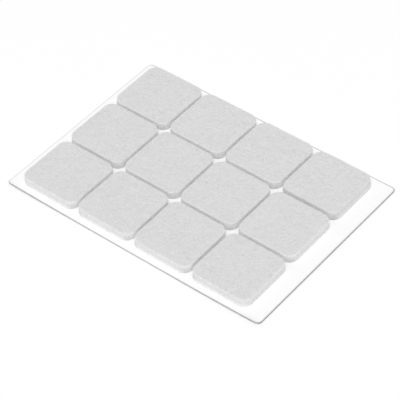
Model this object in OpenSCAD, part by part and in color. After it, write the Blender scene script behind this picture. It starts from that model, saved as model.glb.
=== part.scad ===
// A sheet of self-adhesive felt furniture gliders.
// Square pads of needled felt, each backed with a layer of adhesive, are set out in rows and
// columns on one sheet of release paper. A pad peels off the paper and sticks under a chair or
// table leg, with the felt towards the floor.
// The origin is at the middle of the paper's underside. X runs along a row, Y from the front row
// to the back row, and Z up through the felt. Lengths are in millimetres.

/* [Felt pad] */
// Side of a square pad
pad_side = 28; // [16:0.5:60]
// Radius of a pad's corners, seen from above
pad_corner_r = 4.25; // [1.5:0.25:7]
// Thickness of the felt without its adhesive
felt_t = 3.75; // [2:0.05:8]
// Radius of the soft rim round the top of the felt
rim_r = 0.4; // [0.2:0.1:1.2]

/* [Adhesive layer] */
// Thickness of the adhesive under the felt
adhesive_t = 0.2; // [0.1:0.05:1]
// Distance that the adhesive stays inside the felt's cut edge
adhesive_inset = 0.15; // [0.05:0.05:1]

/* [Layout] */
// Pads in a row
columns = 4; // [1:1:8]
// Rows of pads
rows = 3; // [1:1:6]
// Gap between neighbouring pads
pad_gap = 1.4; // [1:0.1:10]

/* [Release liner] */
// Thickness of the release paper
liner_t = 0.15; // [0.1:0.05:0.5]
// Bare paper to the left of the first column
margin_left = 4.75; // [2:0.25:20]
// Bare paper to the right of the last column
margin_right = 8.75; // [2:0.25:20]
// Bare paper in front of the first row
margin_front = 3.5; // [2:0.25:20]
// Bare paper behind the last row
margin_back = 2.75; // [2:0.25:20]
// Radius of the paper's corners
liner_corner_r = 2; // [0.5:0.25:5]

/* [Hidden] */
$fn = 64;

// Distance between the centres of neighbouring pads
pitch = pad_side + pad_gap;
// Outline of the release paper
liner_w = margin_left + columns * pitch - pad_gap + margin_right;
liner_d = margin_front + rows * pitch - pad_gap + margin_back;
// Centre of the pad in the first column of the front row
first_pad_x = margin_left + pad_side / 2 - liner_w / 2;
first_pad_y = margin_front + pad_side / 2 - liner_d / 2;
// Half the straight stretch of a pad's side, which is also where its corner axes stand
corner_axis = pad_side / 2 - pad_corner_r;
// Where the soft rim's round starts, out from a corner axis and up the felt
rim_start = pad_corner_r - rim_r;
rim_base = felt_t - rim_r;

felt_colour = "#dcdcdc";
adhesive_colour = "#f1ecdc";
liner_colour = "#fafafa";

function pad_name(row, column) = str("_r", row, "_c", column);
function felt_name(row, column) = str("felt_pad", pad_name(row, column));
function adhesive_name(row, column) = str("adhesive_layer", pad_name(row, column));

// A rectangle with round corners, about the origin
module rounded_rectangle(width, depth, corner_r) {
    square([width, depth - 2 * corner_r], center = true);
    square([width - 2 * corner_r, depth], center = true);
    for (x = [-1, 1], y = [-1, 1])
        translate([x * (width / 2 - corner_r), y * (depth / 2 - corner_r)]) circle(corner_r);
}

// Section through the felt from a corner axis out to the cut wall, with its soft top rim
module rim_section() {
    square([pad_corner_r, rim_base]);
    square([rim_start, felt_t]);
    translate([rim_start, rim_base]) circle(rim_r);
}

// One block of felt, standing on its adhesive side
module felt_block() {
    linear_extrude(felt_t) square(2 * corner_axis, center = true);
    for (turn = [0:90:270]) rotate(turn) {
        // a straight side, drawn along the pad
        translate([corner_axis, corner_axis, 0])
            rotate([90, 0, 0]) linear_extrude(2 * corner_axis) rim_section();
        // a corner, turned about its own axis
        translate([corner_axis, corner_axis, 0]) rotate_extrude(angle = 90) rim_section();
    }
}

// Sets a pad's pieces on the paper, in their row and column
module in_place(row, column, height) {
    translate([first_pad_x + (column - 1) * pitch, first_pad_y + (row - 1) * pitch, height]) children();
}

// The release paper that carries every pad
module release_liner() {
    color(liner_colour) linear_extrude(liner_t) rounded_rectangle(liner_w, liner_d, liner_corner_r);
}

// The adhesive under one pad
module adhesive_layer(row, column) {
    adhesive_side = pad_side - 2 * adhesive_inset;
    color(adhesive_colour) in_place(row, column, liner_t)
        linear_extrude(adhesive_t)
            rounded_rectangle(adhesive_side, adhesive_side, pad_corner_r - adhesive_inset);
}

// The felt of one pad
module felt_pad(row, column) {
    color(felt_colour) in_place(row, column, liner_t + adhesive_t) felt_block();
}

release_liner();
for (row = [1:rows], column = [1:columns]) {
    felt_pad(row, column);
    adhesive_layer(row, column);
}
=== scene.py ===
"""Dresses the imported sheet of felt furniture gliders: felt, adhesive, release paper, light and camera.

Every length is in metres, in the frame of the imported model: X runs along a row of pads, Y from the
front row to the back row and Z up, with the origin at the middle of the paper's underside.
"""

import logging
import math
from dataclasses import dataclass, field
from enum import Enum
from typing import Any, ClassVar

import bpy
import numpy as np
from mathutils import Matrix, Vector


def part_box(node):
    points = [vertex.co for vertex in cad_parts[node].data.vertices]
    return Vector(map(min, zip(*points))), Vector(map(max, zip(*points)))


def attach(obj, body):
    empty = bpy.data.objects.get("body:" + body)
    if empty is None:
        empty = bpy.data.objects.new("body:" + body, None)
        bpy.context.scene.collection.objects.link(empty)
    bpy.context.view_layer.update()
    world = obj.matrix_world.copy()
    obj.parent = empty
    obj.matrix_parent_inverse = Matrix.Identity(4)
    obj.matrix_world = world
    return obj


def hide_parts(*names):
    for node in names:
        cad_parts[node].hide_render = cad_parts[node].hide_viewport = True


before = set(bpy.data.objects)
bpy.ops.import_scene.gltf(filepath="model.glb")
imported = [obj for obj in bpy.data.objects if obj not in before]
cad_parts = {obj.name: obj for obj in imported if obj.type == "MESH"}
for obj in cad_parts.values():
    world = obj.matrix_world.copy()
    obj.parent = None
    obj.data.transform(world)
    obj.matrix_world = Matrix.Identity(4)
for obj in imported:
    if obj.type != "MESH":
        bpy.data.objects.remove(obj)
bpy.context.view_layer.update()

MM = 0.001
WALL_ATTRIBUTE = "cut_wall"
# The painted light and shade on a felt block: a highlight along the top's edge, and light and shade down
# its cut walls
PAINTED_SHADING_ATTRIBUTE = "painted_wall_light_and_shade"
# Painted shadow along the paper's cut edge, deeper on some sides than on others
EDGE_SHADOW_ATTRIBUTE = "painted_edge_shadow"
TINT_ATTRIBUTE = "fibre_tint"
SHARP_ANGLE = math.radians(50)
PAD_CORNER_R = 4.25 * MM
NOISE_MEAN = 0.5
NOISE_BAND = (0.3, 0.7)
TINY = 1e-9
TINY_SQUARE = 1e-15
FIRST_SEED = 100
# Loose fibres: the tube's make, how they tilt and vary, how short they are at the foot of a wall and on
# it, and which draws of the tint are even, pale or shaded
FIBRE_SIDES = 3
FIBRE_STEPS = 4
FIBRE_TILT = 0.12
FIBRE_SIZES = (0.5, 1.9)
FOOT_SIZE = 0.2
WALL_CUT = 0.6
EVEN_FROM = -1.0
PALE_FROM = 0.6
SHADED_TO = 0.25
log = logging.getLogger("felt_sheet")

Colour = tuple[float, float, float]
Socket = bpy.types.NodeSocket
Material = bpy.types.Material
Mesh = bpy.types.Mesh
Piece = bpy.types.Object


class Side(Enum):
    """The sides of a pad or of the paper: the axis each faces along, and which way."""

    LEFT = (0, -1)
    RIGHT = (0, 1)
    FRONT = (1, -1)
    BACK = (1, 1)


class Tint(Enum):
    """The shades that loose felt fibres come in, as a share of the felt's own colour."""

    # All lie above the felt's own colour: painted light on the thin fibres, making up for the shadows they
    # cast and take; the spread between them is the fibres' own
    PALE = 1.3
    EVEN = 1.24
    SHADED = 1.1


class Lie(Enum):
    """How a loose fibre lies: lift of its middle, depth of its root, height of its tip, and its bow.

    Each is a share of the fibre's length.
    """

    FLAT_LEFT = (0.08, 0.03, -0.02, 0.16)
    FLAT_RIGHT = (0.09, 0.02, -0.03, -0.22)
    FLAT_HOOK = (0.07, 0.03, -0.01, 0.42)
    FLAT_LONG = (0.06, 0.01, -0.02, -0.07)
    ARCH = (0.15, 0.05, -0.04, 0.12)
    STRAY = (0.12, 0.08, 0.1, -0.18)


class Draw(Enum):
    """The seeds of what is drawn at random for each loose fibre."""

    TURN = 11
    TILT = 12
    SIZE = 13
    SHAPE = 14
    TINT = 15


class NodeSheet:
    """Adds nodes to a shader or geometry tree, with their settings, values and links in one call."""

    def __init__(self, tree: bpy.types.NodeTree) -> None:
        """Keeps the tree that the nodes go into."""
        self.tree = tree

    def put(self, socket: Socket, value: Any) -> None:
        """Links a socket to another one, or sets it to a plain value.

        Args:
            socket: The input to fill.
            value: The other socket, or the value.
        """
        if isinstance(value, Socket):
            self.tree.links.new(value, socket)
        else:
            socket.default_value = value

    def add(self, kind: str, inputs: dict[str | int, Any] | None = None,
            **settings: Any) -> bpy.types.Node:
        """Adds one node.

        Args:
            kind: The node's type name.
            inputs: Values or sockets for its inputs, by name or by place.
            **settings: The node's own options, set first because they can change its sockets.

        Returns:
            The new node.
        """
        node = self.tree.nodes.new(kind)
        for key, value in settings.items():
            setattr(node, key, value)
        for key, value in (inputs or {}).items():
            self.put(node.inputs[key], value)
        return node

    def math(self, operation: str, *values: Any) -> Socket:
        """Adds a Math node and returns its result."""
        return self.add("ShaderNodeMath", dict(enumerate(values)), operation=operation).outputs[0]

    def vector(self, operation: str, *values: Any) -> Socket:
        """Adds a Vector Math node and returns its vector."""
        node = self.add("ShaderNodeVectorMath", dict(enumerate(values)), operation=operation)
        return node.outputs["Vector"]

    def scaled(self, vector: Any, share: Any) -> Socket:
        """Returns a vector or colour times a share."""
        node = self.add("ShaderNodeVectorMath", {0: vector, "Scale": share}, operation="SCALE")
        return node.outputs["Vector"]

    def noise(self, at: Socket, size: Any, detail: float = 2.0) -> Socket:
        """Adds a noise.

        Args:
            at: The coordinates it is read at.
            size: About how large its patches are.
            detail: How many finer layers it has.

        Returns:
            Its value, around one half.
        """
        scale = self.math("DIVIDE", 1.0, size) if isinstance(size, Socket) else 1 / size
        inputs = {"Vector": at, "Scale": scale, "Detail": detail}
        return self.add("ShaderNodeTexNoise", inputs).outputs[0]

    def spread(self, value: Socket, low: float, high: float, to: tuple[float, float]) -> Socket:
        """Adds a clamped Map Range from low..high to the two ends of to, and returns its result."""
        inputs = {"Value": value, "From Min": low, "From Max": high, "To Min": to[0], "To Max": to[1]}
        return self.add("ShaderNodeMapRange", inputs).outputs["Result"]

    def random(self, low: float, high: float, draw: Draw) -> Socket:
        """Adds a Random Value between two numbers, drawn for each point, and returns it."""
        inputs = {2: low, 3: high, "Seed": draw.value}
        return self.add("FunctionNodeRandomValue", inputs, data_type="FLOAT").outputs[1]

    def named(self, attribute: str) -> Socket:
        """Adds a reader of a stored number in a geometry tree and returns it."""
        inputs = {"Name": attribute}
        return self.add("GeometryNodeInputNamedAttribute", inputs, data_type="FLOAT").outputs[0]


class Surface:
    """A node material with one Principled shader, on the piece's Object coordinates."""

    def __init__(self, name: str, **constants: float) -> None:
        """Makes the material.

        Args:
            name: The finish's name.
            **constants: Values for the shader's own sockets, with _ for the spaces in their names.
        """
        self.material = bpy.data.materials.new(name)
        self.material.use_nodes = True
        self.material.node_tree.nodes.clear()
        self.sheet = NodeSheet(self.material.node_tree)
        self.shader = self.sheet.add("ShaderNodeBsdfPrincipled")
        self.sheet.add("ShaderNodeOutputMaterial", {"Surface": self.shader.outputs[0]})
        for label, value in constants.items():
            self.shader.inputs[label.replace("_", " ")].default_value = value

    def place(self) -> Socket:
        """Returns the Object coordinates."""
        return self.sheet.add("ShaderNodeTexCoord").outputs["Object"]

    def attribute(self, name: str) -> Socket:
        """Returns a number stored on the mesh."""
        return self.sheet.add("ShaderNodeAttribute", attribute_name=name).outputs["Fac"]

    def colour(self, colour: Colour, *shares: Socket) -> None:
        """Gives the shader a colour, darkened and lightened over the surface.

        Args:
            colour: The plain colour.
            *shares: What it is multiplied by.
        """
        for share in shares:
            colour = self.sheet.scaled(colour, share)
        if not shares:
            colour = (*colour, 1.0)
        self.sheet.put(self.shader.inputs["Base Color"], colour)

    def relief(self, height: Socket, depth: float, strength: float) -> None:
        """Gives the shader a bump of that depth."""
        inputs = {"Height": height, "Distance": depth, "Strength": strength}
        self.sheet.put(self.shader.inputs["Normal"], self.sheet.add("ShaderNodeBump", inputs).outputs[0])


@dataclass(frozen=True)
class FeltFinish:
    """Pale grey needled felt: a mat of fine fibres that run every way, matt and slightly sheeny."""

    colour: Colour = (0.715, 0.715, 0.715)
    # Cut walls lighter than the top: partly the fresh-cut fibre, partly painted light
    wall_fibre_and_light_share: float = 1.17
    fibre_size: float = 0.28 * MM
    fibre_stretch: float = 7.0
    fibre_edge: float = 0.13
    fibre_tints: tuple[float, ...] = (0.96, 1.09, 0.88, 1.13, 0.98, 1.06)
    # Painted shade in the hollows between the fibres of the mat
    hollow_painted_shade: float = 0.74
    clump_size: float = 0.8 * MM
    clump_contrast: float = 0.055
    clump_relief: float = 0.8
    curl_size: float = 1.9 * MM
    curl_reach: float = 0.6 * MM
    layer_turn: float = 0.618
    first_turn: float = 0.1
    layer_tilt: tuple[float, float] = (0.17, 0.11)
    layer_step: tuple[float, float, float] = (1.0 * MM, 2.3 * MM, 1.7 * MM)
    bump_depth: float = 0.07 * MM
    bump_strength: float = 0.8
    roughness: float = 0.95
    gloss: float = 0.15
    sheen: float = 0.15
    sheen_roughness: float = 0.6
    brightest_fibre: float = 0.95

    def surface(self, name: str) -> Surface:
        """Starts a material with the felt's own matt sheen."""
        return Surface(name, Roughness=self.roughness, Specular_IOR_Level=self.gloss,
                       Sheen_Weight=self.sheen, Sheen_Roughness=self.sheen_roughness)

    def fibre_mat(self, sheet: NodeSheet, at: Socket) -> tuple[Socket, Socket]:
        """Lays sheets of long curved lines over each other at many turns, as the fibres of the mat lie.

        Args:
            sheet: The material's nodes.
            at: Coordinates, already curled.

        Returns:
            The mat's tone, with painted shade between the fibres, and its height from 0 between fibres to
            1 on top of one.
        """
        tone: Any = self.hollow_painted_shade
        height = None
        for index, tint in enumerate(self.fibre_tints):
            turn = math.pi * (index * self.layer_turn + self.first_turn)
            inputs = {
                "Vector": at,
                "Location": [index * step for step in self.layer_step],
                "Rotation": (*(index * tilt for tilt in self.layer_tilt), turn),
                "Scale": (self.fibre_stretch, 1.0, 1.0),
            }
            turned = sheet.add("ShaderNodeMapping", inputs, vector_type="TEXTURE").outputs[0]
            wave = sheet.noise(turned, self.fibre_size, detail=1.0)
            off = sheet.math("ABSOLUTE", sheet.math("SUBTRACT", wave, NOISE_MEAN))
            line = sheet.spread(off, 0.0, self.fibre_edge, (1.0, 0.0))
            tone = sheet.math("MULTIPLY_ADD", line, sheet.math("SUBTRACT", tint, tone), tone)
            height = line if height is None else sheet.math("MAXIMUM", height, line)
        return tone, height

    def material(self) -> Material:
        """Makes the felt's material.

        Returns:
            The material.
        """
        made = self.surface("needled_felt")
        sheet, place = made.sheet, made.place()
        inputs = {"Vector": place, "Scale": 1 / self.curl_size, "Detail": 1.0}
        swirl = sheet.add("ShaderNodeTexNoise", inputs).outputs["Color"]
        swirl = sheet.vector("SUBTRACT", swirl, (NOISE_MEAN, NOISE_MEAN, NOISE_MEAN))
        offset = sheet.scaled(swirl, self.curl_reach)
        mat_tone, mat_height = self.fibre_mat(sheet, sheet.vector("ADD", place, offset))
        clumps = sheet.noise(place, self.clump_size, detail=3.0)
        clump_ends = (1.0 - self.clump_contrast, 1.0 + self.clump_contrast)
        clump_tone = sheet.spread(clumps, *NOISE_BAND, clump_ends)
        # Walls lighter, partly fresh-cut fibre and partly painted light; then the painted light and shade
        # stored on the mesh
        painted_wall_light_and_shade = sheet.spread(made.attribute(WALL_ATTRIBUTE), 0.0, 1.0, (1.0, self.wall_fibre_and_light_share))
        made.colour(self.colour, mat_tone, clump_tone, painted_wall_light_and_shade, made.attribute(PAINTED_SHADING_ATTRIBUTE))
        height = sheet.math("MULTIPLY_ADD", clumps, self.clump_relief, mat_height)
        made.relief(height, self.bump_depth, self.bump_strength)
        return made.material

    def fibre_material(self, tint: Tint) -> Material:
        """Makes the material of the loose fibres in one shade.

        Args:
            tint: The shade.

        Returns:
            The material.
        """
        made = self.surface(f"felt_fibre_{tint.name.lower()}")
        # Lighter than the felt: painted light, up to the brightest a fibre may be
        made.colour(tuple(min(channel * tint.value, self.brightest_fibre) for channel in self.colour))
        return made.material


@dataclass(frozen=True)
class SeatGrid:
    """Where the pads sit on the paper: the first one's centre, the pitch, the counts and the outline."""

    first: tuple[float, float]
    pitch: tuple[float, float]
    counts: tuple[int, int]
    half: float
    corner_r: float

    def distance(self, sheet: NodeSheet, place: Socket) -> Socket:
        """Works out how far a point of the paper lies outside the nearest pad's outline.

        Args:
            sheet: The material's nodes.
            place: The point's coordinates.

        Returns:
            The distance, below 0 under a pad.
        """
        parts = sheet.add("ShaderNodeSeparateXYZ", {0: place}).outputs
        past = []
        for axis in (0, 1):
            steps = sheet.math("SUBTRACT", parts[axis], self.first[axis])
            steps = sheet.math("DIVIDE", steps, self.pitch[axis])
            nearest = sheet.math("MAXIMUM", sheet.math("ROUND", steps), 0.0)
            nearest = sheet.math("MINIMUM", nearest, self.counts[axis] - 1.0)
            off = sheet.math("ABSOLUTE", sheet.math("SUBTRACT", steps, nearest))
            past.append(sheet.math("MULTIPLY_ADD", off, self.pitch[axis], self.corner_r - self.half))
        squares = [sheet.math("POWER", sheet.math("MAXIMUM", value, 0.0), 2.0) for value in past]
        outside = sheet.math("SQRT", sheet.math("ADD", *squares))
        inside = sheet.math("MINIMUM", sheet.math("MAXIMUM", *past), 0.0)
        return sheet.math("SUBTRACT", sheet.math("ADD", outside, inside), self.corner_r)


@dataclass(frozen=True)
class PaperFinish:
    """Smooth white release paper: satin coat, painted shadow along the cut edge and the die's trace round
    every pad.
    """

    seats: SeatGrid
    colour: Colour = (0.95, 0.95, 0.95)
    # How dark the painted shadow along the cut edge gets
    edge_shadow_share: float = 0.08
    grain_size: float = 0.35 * MM
    grain_tones: tuple[float, float] = (0.99, 1.005)
    grain_relief: float = 0.4
    # Patches that break up the painted shadow along the cut edge
    edge_shadow_patch_size: float = 0.9 * MM
    edge_shadow_patch_band: tuple[float, float] = (0.35, 0.65)
    edge_shadow_patch_shares: tuple[float, float] = (0.85, 1.0)
    relief_depth: float = 0.012 * MM
    relief_strength: float = 0.6
    trace_width: float = 0.09 * MM
    trace_share: float = 0.86
    seat_share: float = 0.985
    roughness: float = 0.45
    seat_roughness: float = 0.32
    gloss: float = 0.3

    def material(self) -> Material:
        """Makes the paper's material.

        Returns:
            The material.
        """
        made = Surface("release_paper", Specular_IOR_Level=self.gloss)
        sheet, place = made.sheet, made.place()
        grain = sheet.noise(place, self.grain_size, detail=3.0)
        distance = self.seats.distance(sheet, place)
        trace = sheet.spread(sheet.math("ABSOLUTE", distance), 0.0, self.trace_width, (1.0, 0.0))
        seat = sheet.spread(distance, -2 * self.trace_width, 0.0, (1.0, 0.0))
        # Painted shadow along the cut edge, patchy along its length
        edge_shadow_patches = sheet.spread(sheet.noise(place, self.edge_shadow_patch_size), *self.edge_shadow_patch_band, self.edge_shadow_patch_shares)
        edge = sheet.math("MULTIPLY", made.attribute(EDGE_SHADOW_ATTRIBUTE), edge_shadow_patches)
        made.colour(
            self.colour, sheet.spread(grain, *NOISE_BAND, self.grain_tones),
            sheet.spread(trace, 0.0, 1.0, (1.0, self.trace_share)),
            sheet.spread(seat, 0.0, 1.0, (1.0, self.seat_share)),
            sheet.spread(edge, 0.0, 1.0, (1.0, self.edge_shadow_share)))
        roughness = sheet.spread(seat, 0.0, 1.0, (self.roughness, self.seat_roughness))
        sheet.put(made.shader.inputs["Roughness"], roughness)
        height = sheet.math("SUBTRACT", sheet.math("MULTIPLY", grain, self.grain_relief), trace)
        made.relief(height, self.relief_depth, self.relief_strength)
        return made.material


@dataclass(frozen=True)
class AdhesiveFinish:
    """Cream, tacky adhesive with a faint mottle, in which the mat of the felt shows through."""

    colour: Colour = (0.86, 0.83, 0.74)
    mottle_size: float = 1.6 * MM
    mottle_tones: tuple[float, float] = (0.93, 1.04)
    mat_size: float = 0.3 * MM
    mat_stretch: float = 5.0
    mat_turns: tuple[float, float] = (0.4, 1.9)
    mat_band: tuple[float, float] = (0.4, 0.75)
    mat_tones: tuple[float, float] = (0.96, 1.03)
    ripple_depth: float = 0.04 * MM
    ripple_strength: float = 0.7
    roughness: float = 0.28

    def material(self) -> Material:
        """Makes the adhesive's material.

        Returns:
            The material.
        """
        made = Surface("tacky_adhesive", Roughness=self.roughness)
        sheet, place = made.sheet, made.place()
        mottle = sheet.noise(place, self.mottle_size, detail=4.0)
        mat = []
        for turn in self.mat_turns:
            inputs = {
                "Vector": place, "Rotation": (0.0, 0.0, turn), "Scale": (self.mat_stretch, 1.0, 1.0),
            }
            turned = sheet.add("ShaderNodeMapping", inputs, vector_type="TEXTURE").outputs[0]
            mat.append(sheet.noise(turned, self.mat_size, detail=1.0))
        print_through = sheet.math("MAXIMUM", *mat)
        made.colour(self.colour, sheet.spread(mottle, *NOISE_BAND, self.mottle_tones),
                    sheet.spread(print_through, *self.mat_band, self.mat_tones))
        height = sheet.math("ADD", mottle, print_through)
        made.relief(height, self.ripple_depth, self.ripple_strength)
        return made.material


def new_piece(name: str, mesh: Mesh, material: Material | None = None) -> Piece:
    """Links a mesh into the scene as a piece at the origin.

    Args:
        name: The name of the piece and of its mesh.
        mesh: The mesh, already in place.
        material: Its finish, where the mesh has none yet.

    Returns:
        The new object.
    """
    mesh.name = name
    piece = bpy.data.objects.new(name, mesh)
    bpy.context.scene.collection.objects.link(piece)
    if material:
        mesh.materials.append(material)
    return piece


def shade_smooth(mesh: Mesh) -> None:
    """Shades a mesh smooth, with a hard edge wherever its faces turn sharply."""
    mesh.polygons.foreach_set("use_smooth", [True] * len(mesh.polygons))
    mesh.set_sharp_from_angle(angle=SHARP_ANGLE)


def rounded(points: np.ndarray, half: np.ndarray, corner_r: float) -> np.ndarray:
    """Draws the corners of a rectangular grid in to a corner radius, keeping its lines concentric.

    Args:
        points: The grid's x and y about the middle, in the last axis.
        half: Half the rectangle's width and depth.
        corner_r: The radius of its corners.

    Returns:
        The moved points.
    """
    past = np.abs(points) - (half - corner_r)
    in_corner = (past > 0).all(axis=-1, keepdims=True)
    length = np.maximum(np.linalg.norm(past, axis=-1, keepdims=True), TINY)
    moved = np.sign(points) * (half - corner_r + past * past.max(axis=-1, keepdims=True) / length)
    return np.where(in_corner, moved, points)


def facing(points: np.ndarray, half: np.ndarray, corner_r: float) -> dict[Side, np.ndarray]:
    """Works out which sides the points near a round-cornered outline face, blended round its corners.

    Args:
        points: The points' x and y about the middle, in the last axis.
        half: Half the outline's width and depth.
        corner_r: The radius of its corners.

    Returns:
        A share for each side and point. The shares of a point near the outline add up to 1.
    """
    past = np.maximum(np.abs(points) - (half - corner_r), 0)
    squares = past**2 / np.maximum((past**2).sum(axis=-1, keepdims=True), TINY_SQUARE)
    shares = {}
    for side in Side:
        axis, sign = side.value
        shares[side] = squares[..., axis] * (np.sign(points[..., axis]) == sign)
    return shares


def grid_faces(index: np.ndarray) -> np.ndarray:
    """Returns the quads between the points of a grid, facing up, from the grid of their numbers."""
    corners = [index[:-1, :-1], index[1:, :-1], index[1:, 1:], index[:-1, 1:]]
    return np.stack(corners, axis=-1).reshape(-1, 4)


def grid_border(index: np.ndarray) -> np.ndarray:
    """Returns the numbers round the border of a grid, anticlockwise."""
    return np.concatenate([index[:-1, 0], index[-1, :-1], index[:0:-1, -1], index[0, :0:-1]])


def band_faces(upper: np.ndarray, lower: np.ndarray) -> np.ndarray:
    """Returns the quads between two closed rings of points, facing outwards."""
    return np.stack([upper, lower, np.roll(lower, -1), np.roll(upper, -1)], axis=-1)


def new_mesh(points: np.ndarray, faces: np.ndarray, **attributes: np.ndarray) -> Mesh:
    """Makes a mesh with numbers stored at its points.

    Args:
        points: The points.
        faces: The quads.
        **attributes: A number for each point, by name.

    Returns:
        The mesh, shaded smooth.
    """
    mesh = bpy.data.meshes.new("plain")
    mesh.from_pydata(points.tolist(), [], faces.tolist())
    for name, values in attributes.items():
        mesh.attributes.new(name, "FLOAT", "POINT").data.foreach_set("value", values.astype(np.float32))
    shade_smooth(mesh)
    return mesh


class GeometryTree:
    """One Geometry Nodes tree with named inputs, which turns a piece's mesh into its finished mesh."""

    KINDS: ClassVar[dict[type, str]] = {
        float: "NodeSocketFloat", int: "NodeSocketInt", Material: "NodeSocketMaterial"}

    def __init__(self, name: str, **inputs: type) -> None:
        """Makes the tree and its inputs.

        Args:
            name: The tree's name.
            **inputs: The kind of each named input after the geometry.
        """
        self.tree = bpy.data.node_groups.new(name, "GeometryNodeTree")
        self.sheet = NodeSheet(self.tree)
        self.tree.interface.new_socket("Geometry", in_out="INPUT", socket_type="NodeSocketGeometry")
        self.tree.interface.new_socket("Geometry", in_out="OUTPUT", socket_type="NodeSocketGeometry")
        for label, kind in inputs.items():
            self.tree.interface.new_socket(label, in_out="INPUT", socket_type=self.KINDS[kind])
        self.given = self.sheet.add("NodeGroupInput").outputs
        self.result = self.sheet.add("NodeGroupOutput").inputs[0]

    def height_over(self, floor: Socket) -> Socket:
        """Works out how high a point lies over a floor.

        Args:
            floor: The floor's height.

        Returns:
            The point's height over it.
        """
        place = self.sheet.add("GeometryNodeInputPosition").outputs[0]
        height = self.sheet.add("ShaderNodeSeparateXYZ", {0: place}).outputs["Z"]
        return self.sheet.math("SUBTRACT", height, floor)

    def apply(self, piece: Piece, **values: Any) -> Mesh:
        """Runs the tree on a piece.

        Args:
            piece: The object whose mesh goes in.
            **values: A value for each named input.

        Returns:
            A plain mesh with the result. The piece keeps its own mesh and no modifier.
        """
        modifier = piece.modifiers.new(self.tree.name, "NODES")
        modifier.node_group = self.tree
        for item in self.tree.interface.items_tree:
            if item.in_out == "INPUT" and item.name in values:
                modifier[item.identifier] = values[item.name]
        graph = bpy.context.evaluated_depsgraph_get()
        mesh = bpy.data.meshes.new_from_object(piece.evaluated_get(graph))
        piece.modifiers.remove(modifier)
        return mesh


def felt_surface_tree() -> GeometryTree:
    """Makes the tree that roughens a smooth block into felt, with a slow loft and a fine nap.

    Returns:
        The tree.
    """
    made = GeometryTree("felt_surface", loft_depth=float, loft_size=float, nap_depth=float,
                        nap_size=float, floor=float, felt=Material)
    sheet, given = made.sheet, made.given
    place = sheet.add("GeometryNodeInputPosition").outputs[0]
    normal = sheet.add("GeometryNodeInputNormal").outputs[0]
    waves = []
    for kind in ("loft", "nap"):
        wave = sheet.math("SUBTRACT", sheet.noise(place, given[f"{kind}_size"]), NOISE_MEAN)
        waves.append(sheet.math("MULTIPLY", wave, given[f"{kind}_depth"]))
    offset = sheet.scaled(normal, sheet.math("ADD", *waves))
    above = sheet.math("GREATER_THAN", made.height_over(given["floor"]), 0.0)
    inputs = {"Geometry": given["Geometry"], "Selection": above, "Offset": offset}
    moved = sheet.add("GeometryNodeSetPosition", inputs).outputs[0]
    whole = sheet.add("GeometryNodeRealizeInstances", {0: moved}).outputs[0]
    dressed = sheet.add("GeometryNodeSetMaterial", {"Geometry": whole, "Material": given["felt"]})
    sheet.put(made.result, dressed.outputs[0])
    return made


def fibre_shapes(made: GeometryTree) -> Socket:
    """Makes one short bent tube for each way that a loose fibre lies.

    Args:
        made: The tree, with the inputs fibre_length and fibre_radius.

    Returns:
        The tubes as instances, in the order of the ways.
    """
    sheet, given = made.sheet, made.given
    inputs = {"Resolution": FIBRE_SIDES, "Radius": given["fibre_radius"]}
    profile = sheet.add("GeometryNodeCurvePrimitiveCircle", inputs)
    shapes = []
    for lie in Lie:
        lift, depth, tip, bow = lie.value
        ends = {"Start": (-0.5, 0.0, -depth), "Middle": (0.0, bow, lift), "End": (0.5, 0.0, tip)}
        inputs = {label: sheet.scaled(point, given["fibre_length"]) for label, point in ends.items()}
        inputs["Resolution"] = FIBRE_STEPS
        line = sheet.add("GeometryNodeCurveQuadraticBezier", inputs).outputs[0]
        inputs = {"Curve": line, "Profile Curve": profile.outputs[0], "Fill Caps": True}
        tube = sheet.add("GeometryNodeCurveToMesh", inputs).outputs[0]
        shapes.append(sheet.add("GeometryNodeGeometryToInstance", {0: tube}).outputs[0])
    joined = sheet.add("GeometryNodeJoinGeometry")
    for shape in reversed(shapes):
        sheet.put(joined.inputs[0], shape)
    return joined.outputs[0]


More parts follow.
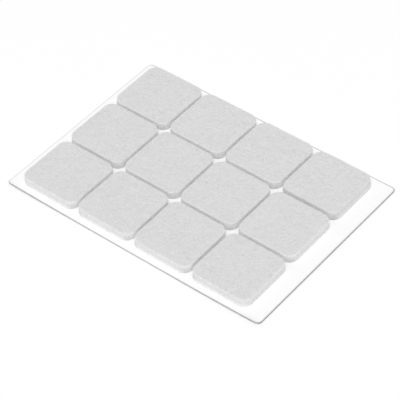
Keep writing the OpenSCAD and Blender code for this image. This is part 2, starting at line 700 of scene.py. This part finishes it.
def fuzz_tree() -> GeometryTree:
    """Makes the tree that scatters short loose fibres over a block of felt.

    Returns:
        The tree.
    """
    made = GeometryTree("felt_fuzz", fibres_per_area=float, wall_change=float, fibre_length=float,
                        fibre_radius=float, floor=float, seed=int, pale=Material, even=Material,
                        shaded=Material)
    sheet, given = made.sheet, made.given
    rise = made.height_over(given["floor"])
    share = sheet.math("MULTIPLY_ADD", sheet.named(WALL_ATTRIBUTE), given["wall_change"], 1.0)
    inputs = {
        "Mesh": given["Geometry"], "Seed": given["seed"],
        "Selection": sheet.math("GREATER_THAN", rise, 0.0),
        "Density": sheet.math("MULTIPLY", given["fibres_per_area"], share),
    }
    points = sheet.add("GeometryNodeDistributePointsOnFaces", inputs, distribute_method="RANDOM")
    tilt = sheet.random(-FIBRE_TILT, FIBRE_TILT, Draw.TILT)
    turn = sheet.add("ShaderNodeCombineXYZ", {0: tilt, 2: sheet.random(-math.pi, math.pi, Draw.TURN)})
    turn = sheet.add("FunctionNodeEulerToRotation", {0: turn.outputs[0]}).outputs[0]
    inputs = {0: points.outputs["Rotation"], 1: turn}
    turned = sheet.add("FunctionNodeRotateRotation", inputs, rotation_space="LOCAL").outputs[0]
    room = sheet.math("MINIMUM", sheet.math("DIVIDE", rise, given["fibre_length"]), 1.0)
    room = sheet.math("MULTIPLY_ADD", room, 1.0 - FOOT_SIZE, FOOT_SIZE)
    cut = sheet.math("MULTIPLY_ADD", sheet.named(WALL_ATTRIBUTE), -WALL_CUT, 1.0)
    size = sheet.random(*FIBRE_SIZES, Draw.SIZE)
    inputs = {4: 0, 5: len(Lie) - 1, "Seed": Draw.SHAPE.value}
    pick = sheet.add("FunctionNodeRandomValue", inputs, data_type="INT").outputs[2]
    inputs = {
        "Points": points.outputs["Points"], "Instance": fibre_shapes(made), "Pick Instance": True,
        "Instance Index": pick, "Rotation": turned,
        "Scale": sheet.math("MULTIPLY", size, sheet.math("MULTIPLY", room, cut)),
    }
    scattered = sheet.add("GeometryNodeInstanceOnPoints", inputs).outputs[0]
    inputs = {"Geometry": scattered, "Name": TINT_ATTRIBUTE, "Value": sheet.random(0.0, 1.0, Draw.TINT)}
    marked = sheet.add("GeometryNodeStoreNamedAttribute", inputs, data_type="FLOAT", domain="INSTANCE")
    dressed = sheet.add("GeometryNodeRealizeInstances", {0: marked.outputs[0]}).outputs[0]
    tint = sheet.named(TINT_ATTRIBUTE)
    shades = (("even", "GREATER_THAN", EVEN_FROM), ("pale", "GREATER_THAN", PALE_FROM),
              ("shaded", "LESS_THAN", SHADED_TO))
    for label, operation, limit in shades:
        inputs = {
            "Geometry": dressed, "Selection": sheet.math(operation, tint, limit), "Material": given[label],
        }
        dressed = sheet.add("GeometryNodeSetMaterial", inputs).outputs[0]
    sheet.put(made.result, dressed)
    return made


@dataclass(frozen=True)
class WallPaintedShading:
    """The painted light and shade on one side of a felt block, as shares of the felt's colour.

    Attributes:
        edge: The painted highlight along the edge of the top.
        down: The painted light and shade down the wall, at each of DEPTHS from its rim to its foot.
        channel: Whether the wall faces another block.
    """

    DEPTHS: ClassVar[tuple[float, ...]] = (0.0, 0.2, 0.6, 1.0)
    EDGE_WIDTH: ClassVar[float] = 0.9 * MM

    edge: float
    down: tuple[float, float, float, float]
    channel: bool = False

    def change(self, inward: np.ndarray, depth: np.ndarray, on_wall: np.ndarray) -> np.ndarray:
        """Works out how far the painted light and shade move the tone from the felt's own colour.

        Args:
            inward: How far each point of the top lies from its edge.
            depth: How far each point lies down the wall, from 0 at the rim to 1 at the foot.
            on_wall: Which points lie on the wall.

        Returns:
            The change at each point.
        """
        top = (self.edge - 1) * np.clip(1 - inward / self.EDGE_WIDTH, 0, 1)
        return np.where(on_wall, np.interp(depth, self.DEPTHS, self.down) - 1, top)


# Painted shade: how far the tone falls at the foot of a corner between no, one or two walls that face a
# channel; where none does, it rises a little as painted light
CORNER_PAINTED_SHADE_DROPS = (-0.04, 0.25, 0.19)
# Painted light and shade on the walls round the outside of the sheet, lighter at the foot, and on those
# across a channel from another pad, lighter at the rim and darker towards the foot
OUTER_WALL_PAINTED_SHADING = {
    Side.LEFT: WallPaintedShading(1.035, (1.06, 1.06, 0.955, 1.12)),
    Side.RIGHT: WallPaintedShading(1.045, (1.06, 1.06, 0.955, 1.12)),
    Side.FRONT: WallPaintedShading(1.065, (1.05, 1.02, 1.01, 1.25)),
    Side.BACK: WallPaintedShading(1.045, (1.05, 1.02, 1.01, 1.25)),
}
CHANNEL_WALL_PAINTED_SHADING = {
    Side.LEFT: WallPaintedShading(1.03, (1.18, 1.145, 1.065, 0.99), True),
    Side.RIGHT: WallPaintedShading(1.0, (1.18, 1.145, 1.065, 0.99), True),
    Side.FRONT: WallPaintedShading(1.0, (1.18, 1.115, 0.985, 0.86), True),
    Side.BACK: WallPaintedShading(1.0, (1.18, 1.115, 0.985, 0.86), True),
}
# The one pad that is cut a little out of true: its own painted shade, darker down its right and front
# walls with a painted highlight along its right edge, and how far its walls lean in at the top
OWN_WALL_PAINTED_SHADING = {"r3_c4": {
    Side.RIGHT: WallPaintedShading(1.08, (0.95, 0.89, 0.92, 1.05)),
    Side.FRONT: WallPaintedShading(1.0, (1.0, 0.95, 0.87, 0.8), True),
}}
LEANING = {"r3_c4": {Side.RIGHT: 0.6 * MM, Side.FRONT: 0.35 * MM}}


@dataclass
class RoundedSlab:
    """A square block with round corners and a soft top rim, as a closed mesh of even cells."""

    low: Vector
    high: Vector
    corner_r: float
    rim: float
    cells: int
    wall_rings: int
    rim_rings: int = 4
    leans: dict[Side, float] = field(default_factory=dict)
    walls: dict[Side, WallPaintedShading] = field(default_factory=dict)
    least_corner: float = 0.1
    lean_power: int = 6

    @property
    def half(self) -> np.ndarray:
        """Half the block's width and depth."""
        return np.array((self.high - self.low).xy) / 2

    def layer(self, inset: float, z: float) -> np.ndarray:
        """Fills the block's outline at one height with a grid of points.

        Args:
            inset: How far the outline is drawn in there.
            z: The height.

        Returns:
            The points, as an array of (cells + 1, cells + 1, 3).
        """
        half = self.half - inset
        lines = [np.linspace(-side, side, self.cells + 1) for side in half]
        flat = np.stack(np.meshgrid(*lines, indexing="ij"), axis=-1)
        flat = rounded(flat, half, max(self.corner_r - inset, self.least_corner * self.corner_r))
        rise = (z - self.low.z) / (self.high.z - self.low.z)
        for side, lean in self.leans.items():
            axis, sign = side.value
            near = np.clip(sign * flat[..., axis] / self.half[axis], 0, 1) ** self.lean_power
            flat[..., axis] -= sign * lean * rise * near
        centre = (self.low + self.high) / 2
        return np.concatenate([flat + np.array(centre.xy), np.full((*flat.shape[:2], 1), z)], axis=-1)

    def rings(self) -> list[tuple[float, float]]:
        """Sets out the rings of points round the soft rim and down the wall.

        Returns:
            Each ring's inset and height, from the rim down, without those of the top and the foot.
        """
        angles = np.linspace(0, math.pi / 2, self.rim_rings + 1)[1:]
        rim = [(self.rim * (1 - math.sin(a)), self.high.z - self.rim * (1 - math.cos(a))) for a in angles]
        heights = np.linspace(self.high.z - self.rim, self.low.z, self.wall_rings + 1)[1:-1]
        return rim + [(0.0, float(z)) for z in heights]

    def mesh(self) -> Mesh:
        """Builds the block, closed and with its faces outwards.

        Returns:
            The mesh, with its wall and the painted light and shade on it marked in attributes.
        """
        rings = self.rings()
        count = (self.cells + 1) ** 2
        index = np.arange(count).reshape(self.cells + 1, -1)
        border = grid_border(index)
        points = [self.layer(self.rim, self.high.z).reshape(-1, 3)]
        walls = [np.zeros(count)]
        faces = [grid_faces(index)]
        upper = border
        for number, (inset, z) in enumerate(rings, start=1):
            lower = np.arange(len(border)) + count + (number - 1) * len(border)
            points.append(self.layer(inset, z).reshape(-1, 3)[border])
            walls.append(np.full(len(border), min(number / self.rim_rings, 1.0)))
            faces.append(band_faces(upper, lower))
            upper = lower
        base = index + count + len(rings) * len(border)
        points.append(self.layer(0.0, self.low.z).reshape(-1, 3))
        walls.append(np.ones(count))
        faces += [band_faces(upper, grid_border(base)), grid_faces(base)[:, ::-1]]
        placed = np.concatenate(points)
        marks = {WALL_ATTRIBUTE: np.concatenate(walls), PAINTED_SHADING_ATTRIBUTE: self.painted_wall_light_and_shade(placed)}
        return new_mesh(placed, np.concatenate(faces), **marks)

    def painted_wall_light_and_shade(self, points: np.ndarray) -> np.ndarray:
        """Works out the painted light and shade on the cut walls, which changes from their rim to their
        foot.

        Args:
            points: The block's points.

        Returns:
            A share of the felt's colour at each point: 1 inside the top's edge, a painted highlight along
            it, painted shade falling down a wall that faces another block, most of all round a corner, and
            painted light rising at the foot of an outer wall.
        """
        flat = points[:, :2] - np.array(((self.low + self.high) / 2).xy)
        past = np.maximum(np.abs(flat) - (self.half - self.corner_r), 0)
        inward = self.corner_r - np.linalg.norm(past, axis=-1)
        rim_z = self.high.z - self.rim
        depth = np.clip((rim_z - points[:, 2]) / (rim_z - self.low.z), 0, 1)
        on_wall = points[:, 2] < rim_z + self.rim / 2
        sides = facing(flat, self.half, self.corner_r)
        tone = np.ones(len(points))
        for side, wall in self.walls.items():
            tone += sides[side] * wall.change(inward, depth, on_wall)
            # Painted shade deepening towards the foot round each corner, by how many of its walls face a
            # channel
            for other in self.walls:
                drop = CORNER_PAINTED_SHADE_DROPS[wall.channel + self.walls[other].channel]
                tone -= 2 * drop * depth * sides[side] * sides[other] * (other is not side)
        return tone


@dataclass
class GliderPad:
    """One pad: its block of felt, the loose fibres on it and the adhesive under it."""

    place: str
    seed: int
    walls: dict[Side, WallPaintedShading]
    leans: dict[Side, float] = field(default_factory=dict)
    corner_r: float = PAD_CORNER_R
    rim: float = 0.3 * MM
    trim: tuple[float, float] = (0.0, 0.05 * MM)
    cells: int = 80
    wall_rings: int = 9
    loft_depth: float = 0.11 * MM
    loft_size: float = 7.0 * MM
    nap_depth: float = 0.11 * MM
    nap_size: float = 0.8 * MM
    fibres_per_area: float = 4.0 / MM**2
    wall_change: float = -0.4
    fibre_length: float = 1.6 * MM
    fibre_radius: float = 0.01 * MM
    floor_skip: float = 0.02 * MM
    bare_foot: float = 0.25 * MM
    adhesive_rim: float = 0.06 * MM
    adhesive_cells: int = 28
    adhesive_rings: int = 2

    def dress(self, piece: Piece, node: str = "") -> Piece:
        """Rides a piece on the pad's body.

        Args:
            piece: The piece.
            node: The node whose place it takes, where it takes one.

        Returns:
            The same piece.
        """
        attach(piece, f"pad_{self.place}")
        if node:
            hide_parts(node)
        return piece

    def felt_block(self, tree: GeometryTree, felt: Material) -> Piece:
        """Builds the block of felt and puts it in the place of its solid.

        Args:
            tree: The tree that roughens the block.
            felt: The felt's material.

        Returns:
            The finished piece.
        """
        node = f"felt_pad_{self.place}"
        low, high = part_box(node)
        trim = Vector((*self.trim, 0.0))
        slab = RoundedSlab(low + trim, high - trim, self.corner_r, self.rim, self.cells,
                           self.wall_rings, leans=self.leans, walls=self.walls)
        plain = slab.mesh()
        piece = new_piece(f"felt_{self.place}", plain)
        mesh = tree.apply(piece, loft_depth=self.loft_depth, loft_size=self.loft_size,
                          nap_depth=self.nap_depth, nap_size=self.nap_size,
                          floor=low.z + self.floor_skip, felt=felt)
        piece.data = mesh
        bpy.data.meshes.remove(plain)
        mesh.name = piece.name
        shade_smooth(mesh)
        self.dress(piece, node)
        return piece

    def loose_fibres(self, tree: GeometryTree, block: Piece,
                     shades: dict[Tint, Material]) -> Piece:
        """Scatters loose fibres over the block.

        Args:
            tree: The tree that scatters them.
            block: The finished block of felt.
            shades: The fibres' material in each shade.

        Returns:
            The fibres as one piece.
        """
        low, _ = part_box(f"felt_pad_{self.place}")
        mesh = tree.apply(block, fibres_per_area=self.fibres_per_area, wall_change=self.wall_change,
                          fibre_length=self.fibre_length, fibre_radius=self.fibre_radius,
                          floor=low.z + self.bare_foot, seed=self.seed, pale=shades[Tint.PALE],
                          even=shades[Tint.EVEN], shaded=shades[Tint.SHADED])
        return self.dress(new_piece(f"felt_fuzz_{self.place}", mesh))

    def adhesive_coat(self, adhesive: Material) -> Piece:
        """Builds the coat of adhesive under the felt and puts it in the place of its solid.

        Args:
            adhesive: The adhesive's material.

        Returns:
            The finished piece.
        """
        node = f"adhesive_layer_{self.place}"
        low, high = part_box(node)
        slab = RoundedSlab(low, high, self.corner_r, self.adhesive_rim, self.adhesive_cells,
                           self.adhesive_rings, rim_rings=self.adhesive_rings)
        return self.dress(new_piece(f"adhesive_{self.place}", slab.mesh(), adhesive), node)


@dataclass
class ReleaseLiner:
    """The sheet of release paper: flat under the pads, with a crushed cut edge, painted shadow along it
    and lifting margins.
    """

    corner_r: float = 2.0 * MM
    cell: float = 1.0 * MM
    edge_lines: tuple[float, ...] = (
        0.0, 0.1 * MM, 0.2 * MM, 0.3 * MM, 0.45 * MM, 0.6 * MM, 0.8 * MM)
    crushed_width: float = 0.24 * MM
    crushed_share: float = 0.4
    # How wide and how deep the painted shadow is along each cut edge
    cut_shadow_widths: dict[Side, float] = field(default_factory=lambda: {
        Side.LEFT: 0.7 * MM, Side.RIGHT: 0.8 * MM, Side.FRONT: 0.75 * MM, Side.BACK: 0.6 * MM})
    cut_shadow_tones: dict[Side, float] = field(default_factory=lambda: {
        Side.LEFT: 0.3, Side.RIGHT: 0.9, Side.FRONT: 0.75, Side.BACK: 0.85})
    lifts: dict[Side, float] = field(default_factory=lambda: {
        Side.LEFT: 0.05 * MM, Side.RIGHT: 0.14 * MM, Side.FRONT: 0.02 * MM, Side.BACK: 0.1 * MM})
    front_curls: dict[Side, float] = field(default_factory=lambda: {
        Side.LEFT: 0.75 * MM, Side.RIGHT: 1.1 * MM})
    lift_power: int = 2
    curl_power: float = 2.5
    long_sway: float = 0.3
    long_wave: float = 17 * MM
    long_start: float = 2.0
    short_sway: float = 0.15
    short_wave: float = 6.1 * MM

    def lines(self, half: float) -> np.ndarray:
        """Sets out grid lines, close together at the paper's edges and even between.

        Args:
            half: Half the paper's width or depth.

        Returns:
            The lines, from -half to half.
        """
        ends = half - np.array([*self.edge_lines, self.corner_r])
        count = round(2 * (half - self.corner_r) / self.cell)
        return np.concatenate([-ends[:-1], np.linspace(-ends[-1], ends[-1], count + 1), ends[:-1][::-1]])

    def lift(self, flat: np.ndarray, half: np.ndarray, pads: dict[Side, float]) -> np.ndarray:
        """Works out how far the paper's margins stand off the table.

        Args:
            flat: The paper's points, as x and y.
            half: Half the paper's width and depth.
            pads: How far the pads reach towards each side.

        Returns:
            The height of the paper's underside at each point.
        """
        total = np.zeros(flat.shape[:-1])
        for number, (side, reach) in enumerate(pads.items()):
            axis, sign = side.value
            share = np.clip((sign * flat[..., axis] - reach) / (half[axis] - reach), 0, 1)
            along = flat[..., 1 - axis]
            sway = 1 + self.long_sway * np.sin(along / self.long_wave + self.long_start * number)
            sway += self.short_sway * np.sin(along / self.short_wave + number)
            total += self.lifts[side] * share**self.lift_power * sway
            if side is Side.FRONT:
                for end, curl in self.front_curls.items():
                    near = np.clip(end.value[1] * along / half[1 - axis], 0, 1)
                    total += curl * share**self.lift_power * near**self.curl_power
        return total

    def edge_shadow_tone(self, flat: np.ndarray, half: np.ndarray, inward: np.ndarray) -> np.ndarray:
        """Works out the painted shadow along the paper's cut edge.

        Args:
            flat: The paper's points, as x and y.
            half: Half the paper's width and depth.
            inward: How far each point lies from the edge.

        Returns:
            The painted shadow at each point, from 0 on plain paper to 1.
        """
        sides = facing(flat, half, self.corner_r)
        width = sum(self.cut_shadow_widths[side] * share for side, share in sides.items())
        tone = sum(self.cut_shadow_tones[side] * share for side, share in sides.items())
        return tone * np.clip(1 - inward / np.maximum(width, TINY), 0, 1)

    def build(self, paper: Material, pads: dict[Side, float]) -> Piece:
        """Builds the paper and puts it in the place of its solid.

        Args:
            paper: The paper's material.
            pads: How far the pads reach towards each side, where they hold the paper flat.

        Returns:
            The finished piece.
        """
        low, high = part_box("release_liner")
        half = np.array(high.xy)
        grid = np.meshgrid(self.lines(high.x), self.lines(high.y), indexing="ij")
        flat = rounded(np.stack(grid, axis=-1), half, self.corner_r)
        past = np.abs(flat) - (half - self.corner_r)
        outside = np.linalg.norm(np.maximum(past, 0), axis=-1) + np.minimum(past.max(axis=-1), 0)
        inward = self.corner_r - outside
        under = low.z + self.lift(flat, half, pads)
        crush = np.clip(1 - inward / self.crushed_width, 0, 1)
        over = under + (high.z - low.z) * (1 - self.crushed_share * crush)
        index = np.arange(under.size).reshape(under.shape)
        border = grid_border(index)
        points = [np.concatenate([flat, z[..., None]], axis=-1).reshape(-1, 3) for z in (over, under)]
        top = grid_faces(index)
        faces = [top, top[:, ::-1] + under.size, band_faces(border, border + under.size)]
        values = np.tile(self.edge_shadow_tone(flat, half, inward).ravel(), 2)
        mesh = new_mesh(np.concatenate(points), np.concatenate(faces), **{EDGE_SHADOW_ATTRIBUTE: values})
        piece = new_piece("release_paper", mesh, paper)
        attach(piece, "liner")
        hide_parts("release_liner")
        return piece


@dataclass
class PadLayout:
    """The places of all the pads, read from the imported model."""

    corner_r: float = PAD_CORNER_R
    flush: float = 0.1 * MM
    digits: int = 6

    def places(self) -> list[str]:
        """Returns the row and column of every pad, as the nodes name them."""
        pads = (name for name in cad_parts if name.startswith("felt_pad_"))
        return sorted(name.removeprefix("felt_pad_") for name in pads)

    def reach(self) -> dict[Side, float]:
        """Returns how far the pads reach towards each side of the paper."""
        corners = np.array([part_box(f"felt_pad_{place}") for place in self.places()])
        return {side: float((side.value[1] * corners[..., side.value[0]]).max()) for side in Side}

    def walls(self, place: str) -> dict[Side, WallPaintedShading]:
        """Chooses the painted light and shade of each side of a pad, by whether it faces another pad
        across a channel.

        Args:
            place: The pad's row and column.

        Returns:
            The painted light and shade of each side.
        """
        reach, corners = self.reach(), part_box(f"felt_pad_{place}")
        outer = {side for side in Side for corner in corners
                 if abs(side.value[1] * corner[side.value[0]] - reach[side]) < self.flush}
        shades = {side: (OUTER_WALL_PAINTED_SHADING if side in outer else CHANNEL_WALL_PAINTED_SHADING)[side] for side in Side}
        return shades | OWN_WALL_PAINTED_SHADING.get(place, {})

    def seats(self) -> SeatGrid:
        """Measures the grid that the pads sit on, for the paper's material.

        Returns:
            The grid.
        """
        boxes = np.array([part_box(f"felt_pad_{place}") for place in self.places()])
        centres = boxes.mean(axis=1)
        columns, rows = (np.unique(centres[:, axis].round(self.digits)) for axis in (0, 1))
        half = float(boxes[0, 1, 0] - boxes[0, 0, 0]) / 2
        first = (float(columns[0]), float(rows[0]))
        pitch = (float(np.diff(columns).mean()), float(np.diff(rows).mean()))
        return SeatGrid(first, pitch, (len(columns), len(rows)), half, self.corner_r)


@dataclass
class Studio:
    """A white table under soft light, and the camera at the photograph's angle."""

    azimuth: float = 39.72
    elevation: float = 44.85
    roll: float = -1.85
    distance: float = 0.8039
    aim: tuple[float, float, float] = (0.00473, -0.006385, 0.0)
    lens: float = 178.2
    sensor: float = 36.0
    nearest: float = 0.01
    farthest: float = 100.0
    table_side: float = 12.0
    table_drop: float = 0.02 * MM
    table_colour: Colour = (0.985, 0.985, 0.985)
    table_roughness: float = 0.9
    ambient: float = 0.53
    key_share: float = 0.52
    key_azimuth: float = 32.0
    key_elevation: float = 70.0
    key_distance: float = 8.0
    key_size: float = 4.4

    @staticmethod
    def toward(azimuth: float, elevation: float) -> Vector:
        """Returns the direction from the object at an azimuth and elevation in degrees."""
        a, e = math.radians(azimuth), math.radians(elevation)
        return Vector((math.sin(a) * math.cos(e), -math.cos(a) * math.cos(e), math.sin(e)))

    def camera(self) -> None:
        """Sets up the camera."""
        data = bpy.data.cameras.new("camera")
        data.sensor_width, data.lens = self.sensor, self.lens
        data.clip_start, data.clip_end = self.nearest, self.farthest
        camera = bpy.data.objects.new("camera", data)
        bpy.context.scene.collection.objects.link(camera)
        back = self.toward(self.azimuth, self.elevation)
        level = (-back).to_track_quat("-Z", "Y").to_matrix().to_4x4()
        turn = level @ Matrix.Rotation(math.radians(self.roll), 4, "Z")
        camera.matrix_world = Matrix.Translation(Vector(self.aim) + back * self.distance) @ turn
        bpy.context.scene.camera = camera

    def table(self) -> None:
        """Lays the white table top that the sheet rests on."""
        side = self.table_side / 2
        mesh = bpy.data.meshes.new("table")
        square = ((-side, -side), (side, -side), (side, side), (-side, side))
        mesh.from_pydata([(x, y, -self.table_drop) for x, y in square], [], [(0, 1, 2, 3)])
        made = Surface("white_table", Roughness=self.table_roughness, Specular_IOR_Level=0.0)
        made.colour(self.table_colour)
        new_piece("table", mesh, made.material)

    def light(self) -> None:
        """Lights the table evenly from all round, with one large soft box towards the camera."""
        world = bpy.data.worlds.new("studio")
        bpy.context.scene.world = world
        world.use_nodes = True
        world.node_tree.nodes.clear()
        sheet = NodeSheet(world.node_tree)
        path = sheet.add("ShaderNodeLightPath").outputs
        seen = sheet.math("MAXIMUM", path["Is Camera Ray"], path["Is Glossy Ray"])
        seen = sheet.math("MAXIMUM", seen, path["Is Transmission Ray"])
        strength = sheet.spread(seen, 0.0, 1.0, (self.ambient, 1.0))
        inputs = {"Color": (1.0, 1.0, 1.0, 1.0), "Strength": strength}
        background = sheet.add("ShaderNodeBackground", inputs)
        sheet.add("ShaderNodeOutputWorld", {"Surface": background.outputs[0]})
        data = bpy.data.lights.new("soft_box", "AREA")
        data.shape, data.size = "DISK", self.key_size
        toward = self.toward(self.key_azimuth, self.key_elevation)
        data.energy = self.key_share * math.pi**2 * self.key_distance**2 / toward.z
        box = bpy.data.objects.new("soft_box", data)
        bpy.context.scene.collection.objects.link(box)
        turn = toward.to_track_quat("Z", "Y").to_matrix().to_4x4()
        box.matrix_world = Matrix.Translation(toward * self.key_distance) @ turn

    def build(self) -> None:
        """Builds the camera, the table and the light."""
        self.camera()
        self.table()
        self.light()
        bpy.context.scene.view_settings.view_transform = "Standard"


def main() -> None:
    """Builds every piece in order."""
    logging.basicConfig(level=logging.INFO, format="%(name)s: %(message)s")
    layout = PadLayout()
    finish = FeltFinish()
    felt = finish.material()
    shades = {tint: finish.fibre_material(tint) for tint in Tint}
    adhesive = AdhesiveFinish().material()
    paper = PaperFinish(layout.seats()).material()
    surface, fuzz = felt_surface_tree(), fuzz_tree()
    pieces = [ReleaseLiner().build(paper, layout.reach())]
    for number, place in enumerate(layout.places()):
        pad = GliderPad(place, FIRST_SEED + number, layout.walls(place), LEANING.get(place, {}))
        block = pad.felt_block(surface, felt)
        pieces += [block, pad.loose_fibres(fuzz, block, shades), pad.adhesive_coat(adhesive)]
    for piece in pieces:
        log.info("%s: %d faces", piece.name, len(piece.data.polygons))
    Studio().build()


if __name__ == "__main__":
    main()
